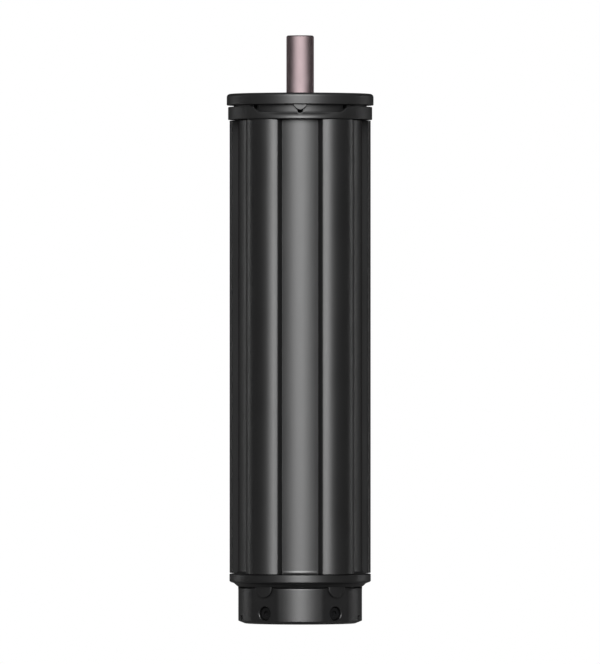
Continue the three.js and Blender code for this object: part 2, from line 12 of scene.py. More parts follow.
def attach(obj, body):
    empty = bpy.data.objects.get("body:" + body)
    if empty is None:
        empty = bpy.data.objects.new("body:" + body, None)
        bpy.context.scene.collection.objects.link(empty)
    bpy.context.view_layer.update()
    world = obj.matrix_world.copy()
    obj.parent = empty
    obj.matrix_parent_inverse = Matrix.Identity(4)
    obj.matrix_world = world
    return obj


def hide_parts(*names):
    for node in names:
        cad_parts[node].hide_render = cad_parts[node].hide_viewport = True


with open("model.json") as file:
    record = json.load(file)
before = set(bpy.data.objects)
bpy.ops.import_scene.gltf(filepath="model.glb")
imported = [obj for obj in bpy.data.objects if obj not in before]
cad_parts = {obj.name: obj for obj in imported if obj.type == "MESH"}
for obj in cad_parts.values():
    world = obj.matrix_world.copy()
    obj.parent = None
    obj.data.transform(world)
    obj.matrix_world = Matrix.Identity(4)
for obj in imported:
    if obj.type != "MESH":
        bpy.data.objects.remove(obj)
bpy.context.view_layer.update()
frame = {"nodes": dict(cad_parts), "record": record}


rad = math.radians
MM = 0.001

# Sizes are millimetres until place() scales a piece to metres. Azimuth is degrees from the
# front (-Y) towards +X. Outline points are (radius, height) or (radius, height, corner radius).
PITCH = 72
HALF_PITCH = PITCH / 2
LOBES = [HALF_PITCH + PITCH * k for k in range(5)]
LOBE_CENTRE, LOBE_R = 16.07, 10.4
GROOVE_R = 22.5
GROOVE_HALF, GROOVE_FLOOR_HALF = 18.9, 16.7  # half angles at the lip and at the floor
LIP_ROUND, FLOOR_ROUND = 0.90, 0.10
BORE = 21.2
HOLLOW_WALL, HOLLOW_HALF = 1.3, 14.0  # wall round a lobe's hollow, and its half angle
JOINT_GAP = 0.2
COLLAR_TOP = 18.0
PROFILE_Z0, PROFILE_Z1 = COLLAR_TOP + JOINT_GAP, 182.85
RING_BORE = 21.5  # inner radius of the collar and of the crown's foot

CROWN_R, CROWN_IN = 26.2, 24.4
CROWN_Z0, CROWN_LOW, CROWN_HIGH = PROFILE_Z1 + JOINT_GAP, 185.6, 187.7
RAMP_START, RAMP_END = 14.95, 17.53  # x where the crown's top leaves the low and meets the high
CROWN_SIDE_X = 20.0  # beyond this x the crown is plain
LOCK_Z, NOTCH_R = 186.1, 1.25
TAB_R = 25.73

PLUG_R, PAD_FLAT = 22.5, 21.8  # end cap radius, and distance of its flat pads from the axis
PAD_HALF = math.degrees(math.acos(PAD_FLAT / PLUG_R))
CAP_SCREW_Z = 3.9
SOCKET_Y = 9.0
BUTTON_AT, LED_AT = (-9, -3), (9, -3)
PIN_R = 5.0


# ------------------------------------------------------------------ outlines
def at(radius, azimuth, z):
    return (radius * math.sin(rad(azimuth)), -radius * math.cos(rad(azimuth)), z)


def arc(centre, radius, start, end, steps):
    """Points on a circle from start to end, the shorter way round."""
    a0 = math.atan2(start.y - centre.y, start.x - centre.x)
    a1 = math.atan2(end.y - centre.y, end.x - centre.x)
    sweep = (a1 - a0 + math.pi) % (2 * math.pi) - math.pi
    angles = [a0 + sweep * k / steps for k in range(steps + 1)]
    return [(centre.x + radius * math.cos(a), centre.y + radius * math.sin(a)) for a in angles]


def rounded(points, steps, radius=0.0):
    """A closed outline with its corners turned into arcs; a third value is a corner's own radius."""
    out = []
    for i, point in enumerate(points):
        r = point[2] if len(point) > 2 else radius
        corner = Vector(point[:2])
        if r <= 0:
            out.append((corner.x, corner.y))
            continue
        back = Vector(points[i - 1][:2]) - corner
        ahead = Vector(points[(i + 1) % len(points)][:2]) - corner
        back_length, ahead_length = back.length, ahead.length
        back /= back_length
        ahead /= ahead_length
        half = math.acos(back.dot(ahead)) / 2
        reach = min(r / math.tan(half), back_length * 0.49, ahead_length * 0.49)
        r = reach * math.tan(half)
        centre = corner + (back + ahead).normalized() * (r / math.sin(half))
        out += arc(centre, r, corner + back * reach, corner + ahead * reach, steps)
    return out


def shrunk(outline, inset):
    """An anticlockwise outline moved inwards by inset."""
    out = []
    for i, (bx, by) in enumerate(outline):
        ax, ay = outline[i - 1]
        cx, cy = outline[(i + 1) % len(outline)]
        normal_in = Vector((-(by - ay), bx - ax)).normalized()
        normal_out = Vector((-(cy - by), cx - bx)).normalized()
        middle = (normal_in + normal_out).normalized()
        shift = inset / middle.dot(normal_in)
        out.append((bx + middle.x * shift, by + middle.y * shift))
    return out


def rectangle(x0, x1, y0, y1):
    return [(x0, y0), (x1, y0), (x1, y1), (x0, y1)]


# ------------------------------------------------------------------ solids
def closed_object(name, mesh, bm):
    """Turns the faces of a closed bmesh outwards and stores it as an object."""
    bmesh.ops.recalc_face_normals(bm, faces=bm.faces)
    if bm.calc_volume(signed=True) < 0:
        bmesh.ops.reverse_faces(bm, faces=bm.faces)
    bm.to_mesh(mesh)
    bm.free()
    ob = bpy.data.objects.new(name, mesh)
    bpy.context.scene.collection.objects.link(ob)
    return ob


def solid(name, verts, faces):
    mesh = bpy.data.meshes.new(name)
    mesh.from_pydata(verts, [], faces)
    bm = bmesh.new()
    bm.from_mesh(mesh)
    bmesh.ops.remove_doubles(bm, verts=bm.verts, dist=2e-5)
    return closed_object(name, mesh, bm)


def grid(columns, rows, wrap_columns=False, wrap_rows=False, first=0):
    """Quads over vertices stored column by column, from vertex number first."""
    quads = []
    for j in range(columns if wrap_columns else columns - 1):
        here = first + j * rows
        beside = first + (j + 1) % columns * rows
        for i in range(rows if wrap_rows else rows - 1):
            h = (i + 1) % rows
            quads.append((here + i, here + h, beside + h, beside + i))
    return quads


def loft_faces(sections, count, first=0):
    """Walls through closed sections of count points each, and the two end faces."""
    last = first + (sections - 1) * count
    ends = [tuple(range(first, first + count)), tuple(range(last, last + count))]
    return grid(sections, count, wrap_rows=True, first=first) + ends


def loft(name, sections):
    verts = [p for section in sections for p in section]
    return solid(name, verts, loft_faces(len(sections), len(sections[0])))


def turned(name, outline, columns):
    """Turned about Z. An outline that starts and ends on the axis is closed by flat faces.
    columns is a count, or a list of (azimuth, largest radius there)."""
    if isinstance(columns, int):
        columns = [(360 * i / columns, math.inf) for i in range(columns)]
    points = [p for p in outline if p[0] > 1e-6]
    meets_axis = len(points) < len(outline)
    rows = len(points)
    verts = [at(min(r, limit), azimuth, z) for azimuth, limit in columns for r, z in points]
    faces = grid(len(columns), rows, wrap_columns=True, wrap_rows=not meets_axis)
    if meets_axis:
        for row in (0, rows - 1):
            faces.append(tuple(j * rows + row for j in range(len(columns))))
    return solid(name, verts, faces)


def prism(name, outline, z0, z1, edge=0.0):
    """Straight prism along Z from an anticlockwise outline, with rounded end edges."""
    rows = [(0, z0), (0, z1)]
    if edge > 0:
        turns = [math.pi / 2 * k / 3 for k in range(4)]
        rows = [(edge * (1 - math.sin(t)), z0 + edge * (1 - math.cos(t))) for t in turns]
        rows += [(edge * (1 - math.cos(t)), z1 - edge * (1 - math.sin(t))) for t in turns]
    return loft(name, [[(x, y, z) for x, y in shrunk(outline, inset)] for inset, z in rows])


def moved(ob, matrix):
    ob.data.transform(matrix)
    return ob


def shifted(ob, xy):
    return moved(ob, Matrix.Translation((*xy, 0)))


def turn(ob, azimuth):
    return moved(ob, Matrix.Rotation(rad(azimuth), 4, "Z"))


def radial(ob, azimuth, z):
    """A piece built along +Z, turned to point outwards at an azimuth and height."""
    around = Matrix.Rotation(rad(azimuth), 4, "Z")
    tip_over = Matrix.Rotation(rad(90), 4, "X")
    return moved(ob, Matrix.Translation((0, 0, z)) @ around @ tip_over)


def join(ob, others, how):
    """Adds or cuts the other solids and keeps the result as ob's own mesh."""
    for other in others:
        cut = ob.modifiers.new("cut", "BOOLEAN")
        cut.operation = how
        cut.solver = "EXACT"
        cut.object = other
    bpy.context.view_layer.update()
    depsgraph = bpy.context.evaluated_depsgraph_get()
    mesh = bpy.data.meshes.new_from_object(ob.evaluated_get(depsgraph))
    ob.modifiers.clear()
    old = ob.data
    ob.data = mesh
    bpy.data.meshes.remove(old)
    for other in others:
        bpy.data.objects.remove(other)
    return ob


def hex_screw(name, outline, columns, socket_r, socket_z, azimuth, z):
    """Turned screw with a six-sided socket, pointing outwards; socket_z is its (floor, top)."""
    screw = turned(name, outline, columns)
    corners = [rad(60 * i) for i in range(6)]
    hexagon = [(socket_r * math.cos(a), socket_r * math.sin(a)) for a in corners]
    join(screw, [prism("hex", hexagon, *socket_z)], "DIFFERENCE")
    return radial(screw, azimuth, z)


def place(ob, body, slot, *nodes, sharp=28.0):
    """Scales a finished piece to metres, shades it, paints it and hangs it on its body."""
    mesh = ob.data
    mesh.transform(Matrix.Scale(MM, 4))
    for face in mesh.polygons:
        face.use_smooth = True
    mesh.set_sharp_from_angle(angle=rad(sharp))
    mesh.materials.clear()
    mesh.materials.append(material(slot))
    normals = ob.modifiers.new("normals", "WEIGHTED_NORMAL")
    normals.keep_sharp = True
    normals.weight = 50
    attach(ob, body)
    if nodes:
        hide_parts(*nodes)


# ------------------------------------------------------------------ node builders
class Tree:
    """Small builder over the node tree of a material or a world."""

    def __init__(self, owner):
        owner.use_nodes = True
        self.tree = owner.node_tree
        self.tree.nodes.clear()

    def put(self, socket, value):
        """Links an output to the socket or sets its value; a colour is three numbers."""
        if isinstance(value, bpy.types.NodeSocket):
            self.tree.links.new(value, socket)
        elif socket.type == "RGBA":
            socket.default_value = (*value, 1.0)
        else:
            socket.default_value = value

    def add(self, kind, inputs=None, **settings):
        node = self.tree.nodes.new("ShaderNode" + kind)
        for name, value in settings.items():
            setattr(node, name, value)
        for key, value in (inputs or {}).items():
            self.put(node.inputs[key], value)
        return node

    def math(self, operation, a, b=0.0, c=None):
        node = self.add("Math", {0: a, 1: b}, operation=operation)
        if c is not None:
            self.put(node.inputs[2], c)
        return node.outputs[0]

    def mix_shader(self, share, first, second):
        inputs = {0: share, 1: first.outputs[0], 2: second.outputs[0]}
        return self.add("MixShader", inputs)


class Nodes(Tree):
    """A material with a principled shader. Coordinates are metres."""

    def __init__(self, name):
        self.mat = bpy.data.materials.new(name)
        super().__init__(self.mat)
        self.out = self.add("OutputMaterial")
        self.bsdf = self.add("BsdfPrincipled")
        self.put(self.out.inputs["Surface"], self.bsdf.outputs["BSDF"])
        self.coords = self.add("TexCoord").outputs["Object"]

    def stretch(self, across, along):
        """Coordinates scaled by across on X and Y, and by along on Z."""
        node = self.add("Mapping", {"Vector": self.coords, "Scale": (across, across, along)})
        return node.outputs["Vector"]

    def polar(self, radius, height, around):
        """Coordinates of a turned part: radius and height in scaled millimetres, scaled angle."""
        x, y, z = self.add("SeparateXYZ", {0: self.coords}).outputs
        squares = self.math("ADD", self.math("MULTIPLY", x, x), self.math("MULTIPLY", y, y))
        inputs = {
            0: self.math("MULTIPLY", self.math("SQRT", squares), 1000.0 * radius),
            1: self.math("MULTIPLY", z, 1000.0 * height),
            2: self.math("MULTIPLY", self.math("ARCTAN2", y, x), around),
        }
        return self.add("CombineXYZ", inputs).outputs[0]

    def noise(self, scale=1.0, detail=4.0, rough=0.55, vector=None):
        inputs = {"Vector": vector or self.coords, "Scale": scale}
        inputs.update({"Detail": detail, "Roughness": rough})
        return self.add("TexNoise", inputs).outputs["Fac"]

    def remap(self, value, low=0.0, high=1.0, start=0.3, end=0.7):
        """Runs from low to high while value runs from start to end."""
        inputs = {"Value": value, "From Min": start, "From Max": end}
        inputs.update({"To Min": low, "To Max": high})
        return self.add("MapRange", inputs).outputs["Result"]

    def mix(self, share, first, second):
        return self.add("Mix", {0: share, 6: first, 7: second}, data_type="RGBA").outputs[2]

    def total(self, *parts):
        """Sum of (value, weight) parts."""
        term = self.math("MULTIPLY", *parts[0])
        return self.math("ADD", term, self.total(*parts[1:])) if len(parts) > 1 else term

    def bump(self, height, strength, distance=0.00001):
        inputs = {"Strength": strength, "Distance": distance, "Height": height}
        return self.add("Bump", inputs).outputs["Normal"]

    def wear_and_edge_highlight(self, base, color, share, radius=0.0003, start=0.05, end=0.4):
        """Mixes a colour over the base along edges, found by comparing bevelled normals. The paler
        edges are wear and also a painted edge highlight.
        """
        bevel = self.add("Bevel", {"Radius": radius}, samples=4)
        inputs = {0: bevel.outputs["Normal"], 1: self.add("NewGeometry").outputs["Normal"]}
        facing = self.add("VectorMath", inputs, operation="DOT_PRODUCT").outputs["Value"]
        edge = self.remap(self.math("SUBTRACT", 1.0, facing), start=start, end=end)
        return self.mix(self.math("MULTIPLY", edge, share), base, color)

    def set(self, **values):
        names = {
            "color": "Base Color", "metal": "Metallic", "rough": "Roughness", "ior": "IOR",
            "normal": "Normal", "aniso": "Anisotropic", "tangent": "Tangent",
            "coat": "Coat Weight", "transmission": "Transmission Weight",
            "sub": "Subsurface Weight",
        }
        for name, value in values.items():
            self.put(self.bsdf.inputs[names[name]], value)
        return self.mat


def shade(color, factor, lift=0.0):
    return tuple(min(1.0, c * factor + lift) for c in color)


# ------------------------------------------------------------------ materials
BLACK_IOR = 1.8


def anodised(name):
    """Black anodised extrusion: die lines along Z, faint cloudiness, edges paler from wear and as a
    painted edge highlight.
    """
    mat = Nodes(name)
    lines = mat.noise(detail=3.0, rough=0.6, vector=mat.stretch(across=2600, along=9))
    fine = mat.noise(detail=2.0, rough=0.5, vector=mat.stretch(across=5200, along=60))
    cloud = mat.noise(vector=mat.stretch(across=70, along=40))
    speck = mat.noise(scale=3200.0, detail=2.0, rough=0.6)
    cloud_rough = mat.remap(cloud, low=0.36, high=0.40)
    rough = mat.math("ADD", cloud_rough, mat.remap(lines, low=-0.012, high=0.012))
    dark, light = (0.0042, 0.0042, 0.0044), (0.0058, 0.0058, 0.0060)
    tone = mat.mix(mat.remap(cloud), dark, light)
    # edges lightened: wear, and a painted edge highlight
    tone = mat.wear_and_edge_highlight(tone, color=(0.03, 0.03, 0.031), share=0.35, radius=0.00025)
    height = mat.total((lines, 0.6), (fine, 0.25), (speck, 0.15))
    return mat.set(color=tone, rough=rough, ior=BLACK_IOR, normal=mat.bump(height, strength=0.30))


def turned_black(name, rough, ring, ior=BLACK_IOR,
                 dark=(0.0042, 0.0042, 0.0044), light=(0.0062, 0.0062, 0.0064)):
    """Black turned piece: fine rings round Z, small grain, brighter edges from wear and as a painted
    edge highlight.
    """
    mat = Nodes(name)
    rings = mat.noise(detail=5.0, rough=0.65, vector=mat.polar(radius=3.0, height=3.4, around=0.35))
    grain = mat.noise(scale=2200.0, detail=2.0, rough=0.6)
    cloud = mat.noise(scale=60.0)
    cloud_rough = mat.remap(cloud, low=rough - 0.03, high=rough + 0.03)
    total_rough = mat.math("ADD", cloud_rough, mat.remap(rings, low=-0.02, high=0.02))
    tone = mat.mix(mat.remap(cloud), dark, light)
    tone = mat.wear_and_edge_highlight(tone, color=(0.035, 0.035, 0.036), share=0.35)
    height = mat.total((rings, 0.7), (grain, 0.3))
    return mat.set(color=tone, rough=total_rough, ior=ior, normal=mat.bump(height, strength=ring))


def metal_rings(mat):
    return mat.noise(detail=5.0, rough=0.7, vector=mat.polar(radius=4.0, height=5.0, around=0.3))


def turned_metal(name, color, rough, dark=0.75, ring=0.35):
    """Bare turned metal: lathe rings, a little staining, bright edges from wear and as a painted edge
    highlight.
    """
    mat = Nodes(name)
    rings = metal_rings(mat)
    cloud = mat.noise(scale=160.0, rough=0.6)
    base = mat.mix(mat.remap(cloud, start=0.25, end=0.75), shade(color, dark), color)
    base = mat.wear_and_edge_highlight(base, shade(color, 1.25), share=0.4, end=0.35)
    cloud_rough = mat.remap(cloud, low=rough * 0.88, high=rough * 1.12)
    total_rough = mat.math("ADD", cloud_rough, mat.remap(rings, low=-0.03, high=0.03))
    tangent = mat.add("Tangent", direction_type="RADIAL", axis="Z").outputs[0]
    return mat.set(
        color=base, metal=1.0, rough=total_rough, aniso=0.3, tangent=tangent,
        normal=mat.bump(rings, strength=ring),
    )


def frosted_pin(name):
    """Ground steel with a warm cast and a broad even sheen, fine rings and handling marks."""
    mat = Nodes(name)
    rings = metal_rings(mat)
    cloud = mat.noise(scale=160.0, rough=0.6)
    marks = mat.noise(detail=3.0, rough=0.6, vector=mat.stretch(across=900, along=120))
    dark, light, marked = (0.415, 0.322, 0.334), (0.455, 0.356, 0.370), (0.33, 0.25, 0.26)
    base = mat.mix(mat.remap(cloud), dark, light)
    base = mat.mix(mat.remap(marks, high=0.35, start=0.58, end=0.8), base, marked)
    # paler edges: wear, and a painted edge highlight
    base = mat.wear_and_edge_highlight(base, color=(0.60, 0.52, 0.53), share=0.3, end=0.35)
    cloud_rough = mat.remap(cloud, low=0.63, high=0.68)
    rough = mat.math("ADD", cloud_rough, mat.remap(rings, low=-0.02, high=0.02))
    inputs = {"Color": base, "Roughness": rough, "Normal": mat.bump(rings, strength=0.3)}
    gloss = mat.add("BsdfAnisotropic", inputs, distribution="BECKMANN")
    # the plain gloss stands in for the principled shader
    mat.tree.nodes.remove(mat.bsdf)
    mat.put(mat.out.inputs["Surface"], gloss.outputs[0])
    return mat.mat


def cast_metal(name, color, rough, metal=1.0, grain=1800.0, strength=0.4, edge_tone=1.5):
    """Stamped, cast or sintered metal: fine grain, patchy tone, edges paler from wear and as a painted
    edge highlight.
    """
    mat = Nodes(name)
    grains = mat.noise(scale=grain, detail=3.0, rough=0.65)
    cloud = mat.noise(scale=120.0, rough=0.6)
    base = mat.mix(mat.remap(cloud, start=0.25, end=0.75), shade(color, 0.78), color)
    base = mat.wear_and_edge_highlight(base, shade(color, edge_tone), share=0.5, start=0.04, end=0.35)
    return mat.set(
        color=base, metal=metal, rough=mat.remap(cloud, low=rough * 0.85, high=rough * 1.15),
        normal=mat.bump(grains, strength, distance=0.00002),
    )


def moulded(name, color, rough, grain=2400.0, strength=0.3,
            sub=0.0, coat=0.0, transmission=0.0, ior=1.5):
    """Moulded plastic or rubber: fine grain, mottled gloss, paler rubbed edges that are also a painted
    edge highlight.
    """
    mat = Nodes(name)
    grains = mat.noise(scale=grain, detail=3.0, rough=0.6)
    cloud = mat.noise(scale=90.0, rough=0.6)
    base = mat.mix(mat.remap(cloud), shade(color, 0.86), color)
    base = mat.wear_and_edge_highlight(base, shade(color, 1.3, lift=0.01), share=0.3)
    return mat.set(
        color=base, metal=0.0, coat=coat, sub=sub, transmission=transmission, ior=ior,
        rough=mat.remap(cloud, low=rough * 0.88, high=min(1.0, rough * 1.12)),
        normal=mat.bump(grains, strength, distance=0.00002),
    )


def wave(mat, scale, **settings):
    inputs = {"Vector": mat.coords, "Scale": scale}
    return mat.add("TexWave", inputs, wave_type="BANDS", bands_direction="Z", **settings)


def wound(name):
    """Enamelled copper wire laid side by side, with painted shade between the turns and a painted
    highlight on their crests.
    """
    mat = Nodes(name)
    bands = wave(mat, scale=480.0)
    mat.put(bands.inputs["Distortion"], 1.2)
    turns = bands.outputs["Fac"]
    cloud = mat.noise(scale=220.0, detail=3.0, rough=0.6)
    # between is painted shade in the grooves between turns, crest a painted highlight on each turn
    between, crest, stain = (0.20, 0.055, 0.018), (0.62, 0.22, 0.08), (0.35, 0.09, 0.03)
    base = mat.mix(turns, between, crest)
    base = mat.mix(mat.remap(cloud, high=0.35), base, stain)
    return mat.set(
        color=base, metal=0.85, rough=mat.remap(cloud, low=0.3, high=0.45), coat=0.5,
        normal=mat.bump(turns, strength=0.6, distance=0.00006),
    )


def laminated(name):
    """Stack of stamped sheets, their edges showing as fine lines round the core."""
    mat = Nodes(name)
    sheets = wave(mat, scale=310.0, wave_profile="SAW").outputs["Fac"]
    cloud = mat.noise(scale=150.0, rough=0.6)
    dark, light, stain = (0.16, 0.16, 0.17), (0.42, 0.42, 0.43), (0.20, 0.17, 0.15)
    base = mat.mix(sheets, dark, light)
    base = mat.mix(mat.remap(cloud, high=0.4, start=0.35, end=0.75), base, stain)
    return mat.set(
        color=base, metal=0.95, rough=mat.remap(cloud, low=0.32, high=0.5),
        normal=mat.bump(sheets, strength=0.4, distance=0.00004),
    )


def board(name):
    """Green solder mask in a brick pattern, with mottled gloss."""
    mat = Nodes(name)
    inputs = {
        "Vector": mat.stretch(across=900, along=520), "Scale": 1.0, "Mortar Size": 0.12,
        "Color1": (0.012, 0.085, 0.035), "Color2": (0.010, 0.070, 0.030),
        "Mortar": (0.02, 0.16, 0.06),
    }
    bricks = mat.add("TexBrick", inputs, offset=0.5, squash=1.0)
    weave = mat.noise(detail=2.0, rough=0.5, vector=mat.stretch(across=1500, along=1500))
    return mat.set(
        color=bricks.outputs["Color"], rough=mat.remap(weave, low=0.28, high=0.42), coat=0.4,
        normal=mat.bump(bricks.outputs["Fac"], strength=0.4, distance=0.00003),
    )


# material slot: (function, its values)
FINISH = {
    "black_anodised": (anodised, {}),
    "black_diecast": (turned_black, dict(rough=0.45, ring=0.30)),
    "black_plastic": (turned_black, dict(rough=0.38, ring=0.35)),
    # black_screw's darker tones are the screws' own black and partly a painted shade, so the heads read
    # as the dark holes they sit in
    "black_screw": (turned_black, dict(
        rough=0.46, ring=0.25, ior=1.42, dark=(0.003, 0.003, 0.0032), light=(0.005, 0.005, 0.0053))),
    "pin_steel": (frosted_pin, {}),
    "seal_rubber": (moulded, dict(
        color=(0.012, 0.012, 0.0125), rough=0.72, grain=1500.0, strength=0.4)),
    "bronze_bush": (turned_metal, dict(color=(0.62, 0.40, 0.17), rough=0.42, dark=0.7, ring=0.45)),
    "socket_plastic": (moulded, dict(color=(0.03, 0.03, 0.032), rough=0.55)),
    "button_plastic": (moulded, dict(
        color=(0.52, 0.52, 0.50), rough=0.45, strength=0.25, sub=0.05)),
    "led_lens": (moulded, dict(
        color=(0.62, 0.80, 0.66), rough=0.18, grain=900.0, strength=0.15, coat=0.3,
        transmission=0.6, ior=1.49)),
    "circuit_board": (board, {}),
    "component_black": (moulded, dict(
        color=(0.014, 0.014, 0.015), rough=0.5, grain=2800.0, strength=0.35)),
    "capacitor_sleeve": (moulded, dict(
        color=(0.018, 0.032, 0.09), rough=0.32, grain=1200.0, strength=0.2, coat=0.4)),
    "soft_iron": (cast_metal, dict(color=(0.40, 0.40, 0.41), rough=0.45)),
    "copper": (wound, {}),
    "spring_steel": (turned_metal, dict(color=(0.58, 0.58, 0.60), rough=0.26, ring=0.25)),
    "friction_lining": (cast_metal, dict(
        color=(0.085, 0.055, 0.04), rough=0.85, metal=0.0, grain=900.0, strength=0.8,
        edge_tone=1.3)),
    "zinc_steel": (cast_metal, dict(
        color=(0.60, 0.61, 0.62), rough=0.34, grain=700.0, strength=0.2, edge_tone=1.3)),
    "ferrite": (cast_metal, dict(
        color=(0.06, 0.06, 0.063), rough=0.62, metal=0.2, grain=1600.0, strength=0.5,
        edge_tone=1.4)),
    "natural_nylon": (moulded, dict(
        color=(0.70, 0.66, 0.56), rough=0.42, grain=2200.0, strength=0.25, sub=0.12)),
    "carbon": (cast_metal, dict(
        color=(0.035, 0.035, 0.037), rough=0.6, metal=0.4, grain=2600.0, strength=0.5,
        edge_tone=1.6)),
    "shaft_steel": (turned_metal, dict(color=(0.66, 0.66, 0.68), rough=0.2, dark=0.85, ring=0.2)),
    "lamination_steel": (laminated, {}),
    "gear_brass": (cast_metal, dict(
        color=(0.66, 0.48, 0.20), rough=0.3, grain=1500.0, strength=0.25)),
    "gear_steel": (cast_metal, dict(
        color=(0.40, 0.405, 0.42), rough=0.36, grain=1700.0, strength=0.35)),
    "screw_steel": (turned_metal, dict(color=(0.55, 0.55, 0.57), rough=0.28, ring=0.3)),
    "cast_plate": (cast_metal, dict(
        color=(0.58, 0.58, 0.60), rough=0.48, grain=1300.0, strength=0.5)),
}
made = {}


def material(slot):
    if slot not in made:
        make, values = FINISH[slot]
        made[slot] = make(slot, **values)
    return made[slot]


# ------------------------------------------------------------------ profile tube
def lobe_reach(angle, radius):
    """Distance from the axis to a circle on the lobe's centre, at an angle from its crest."""
    sideways = LOBE_CENTRE * math.sin(angle)
    return LOBE_CENTRE * math.cos(angle) + math.sqrt(radius ** 2 - sideways ** 2)


def half_lobe():
    """Half of a lobe and of the groove beside it, as (sideways, outwards), from the crest
    to the middle of the groove."""
    centre = Vector((0, LOBE_CENTRE))
    lip_angle = rad(HALF_PITCH - GROOVE_HALF)
    foot_angle = rad(HALF_PITCH - GROOVE_FLOOR_HALF)
    lip = Vector((math.sin(lip_angle), math.cos(lip_angle))) * lobe_reach(lip_angle, LOBE_R)
    foot = Vector((math.sin(foot_angle), math.cos(foot_angle))) * GROOVE_R
    up = (lip - foot).normalized()
    inward = Vector((-up.y, up.x))  # from the wall into the lobe

    def meet(offset, middle, radius):
        """Way from the lip along the wall line, moved inward by offset, to a circle."""
        start = lip + inward * offset - middle
        k = up.dot(start)
        return -k + math.sqrt(k * k - start.dot(start) + radius * radius)

    wall_top = lip + up * meet(LIP_ROUND, centre, LOBE_R - LIP_ROUND)
    lip_centre = wall_top + inward * LIP_ROUND
    touch = centre + (lip_centre - centre) * (LOBE_R / (LOBE_R - LIP_ROUND))
    end = math.atan2(touch.x, touch.y - LOBE_CENTRE)
    turns = [end * i / 26 for i in range(27)]
    points = [(LOBE_R * math.sin(t), LOBE_CENTRE + LOBE_R * math.cos(t)) for t in turns]
    points += arc(lip_centre, LIP_ROUND, touch, wall_top, 12)[1:]

    wall_foot = lip + up * meet(-FLOOR_ROUND, Vector((0, 0)), GROOVE_R + FLOOR_ROUND)
    floor_centre = wall_foot - inward * FLOOR_ROUND
    floor_start = floor_centre.normalized() * GROOVE_R
    points += arc(floor_centre, FLOOR_ROUND, wall_foot, floor_start, 5)
    first = math.atan2(floor_start.x, floor_start.y)
    turns = [first + (rad(HALF_PITCH) - first) * i / 18 for i in range(1, 19)]
    return points + [(GROOVE_R * math.sin(t), GROOVE_R * math.cos(t)) for t in turns]


def on_lobe(sideways, outwards, azimuth):
    c, s = math.cos(rad(azimuth)), math.sin(rad(azimuth))
    return (outwards * s + sideways * c, -outwards * c + sideways * s)


def profile_outline():
    half = half_lobe()
    outline = []
    for lobe in LOBES:
        # the groove's middle belongs to the lobe before, and the crest to the right half
        outline += [on_lobe(-u, v, lobe) for u, v in reversed(half[1:-1])]
        outline += [on_lobe(u, v, lobe) for u, v in half]
    return outline


def hollow(lobe):
    """Hole between a lobe's outer wall and the wall of the bore."""
    steps = 16
    top_r = LOBE_R - HOLLOW_WALL
    low_r = BORE + HOLLOW_WALL + 0.1
    side = rad(HOLLOW_HALF)
    edge = lobe_reach(side, top_r)
    t = math.atan2(edge * math.sin(side), edge * math.cos(side) - LOBE_CENTRE)
    turns = [-t + 2 * t * i / steps for i in range(steps + 1)]
    points = [(top_r * math.sin(a), LOBE_CENTRE + top_r * math.cos(a)) for a in turns]
    turns = [rad(HOLLOW_HALF - 2 * HOLLOW_HALF * i / steps) for i in range(steps + 1)]
    points += [(low_r * math.sin(a), low_r * math.cos(a)) for a in turns]
    return [on_lobe(u, v, lobe) for u, v in points]


def profile_tube():
    """Extruded section with holes: walls in rows, end faces filled between the loops."""
    bm = bmesh.new()

    def wall(rows):
        loops = [[bm.verts.new((x, y, z)) for x, y in outline] for outline, z in rows]
        n = len(loops[0])
        for a, b in zip(loops, loops[1:]):
            for i in range(n):
                bm.faces.new((a[i], a[(i + 1) % n], b[(i + 1) % n], b[i]))
        return loops[0], loops[-1]

    edge = 0.15
    insets = [(edge, 0), (edge * 0.3, edge * 0.3), (0, edge)]  # inwards, and from the end
    rows = [(inset, PROFILE_Z0 + rise) for inset, rise in insets]
    rows += [(inset, PROFILE_Z1 - rise) for inset, rise in reversed(insets)]
    outer = profile_outline()
    turns = [2 * math.pi * i / 120 for i in range(120)]
    holes = [[(BORE * math.cos(t), BORE * math.sin(t)) for t in turns]]
    holes += [hollow(lobe) for lobe in LOBES]
    ends = [wall([(shrunk(outer, inset), z) for inset, z in rows])]
    ends += [wall([(hole, PROFILE_Z0), (hole, PROFILE_Z1)]) for hole in holes]
    for loops in zip(*ends):
        edges = []
        for loop in loops:
            edges += [bm.edges.get((a, b)) for a, b in zip(loop, loop[1:] + loop[:1])]
        bmesh.ops.triangle_fill(bm, use_beauty=True, use_dissolve=False, edges=edges)
    name = "lobed_profile_tube"
    return closed_object(name, bpy.data.meshes.new(name), bm)


# ------------------------------------------------------------------ crown
def soft_min(a, b, soft):
    h = max(soft - abs(a - b), 0.0) / soft
    return min(a, b) - h * h * soft * 0.25


def crown_top(x):
    """Height of the crown: low in the middle, a softened ramp up, and a notch at x = 0."""
    soft = 0.5
    slope = (CROWN_HIGH - CROWN_LOW) / (RAMP_END - RAMP_START)
    ramp = CROWN_LOW + (x - RAMP_START) * slope
    z = soft_min(-soft_min(-CROWN_LOW, -ramp, soft), CROWN_HIGH, soft)
    if x < NOTCH_R:
        z = min(z, LOCK_Z - math.sqrt(NOTCH_R * NOTCH_R - x * x))
    return z


def crown_quarter():
    """Columns (x, share of the way from there round to the side), closer at notch and ramp."""
    columns = []
    x = 0.0
    while x < CROWN_SIDE_X:
        columns.append((x, 0.0))
        if x < 1.4:
            x += 0.07
        elif 13.5 < x < 18.6:
            x += 0.16
        else:
            x += 0.5
    return columns + [(CROWN_SIDE_X, k / 14) for k in range(15)]


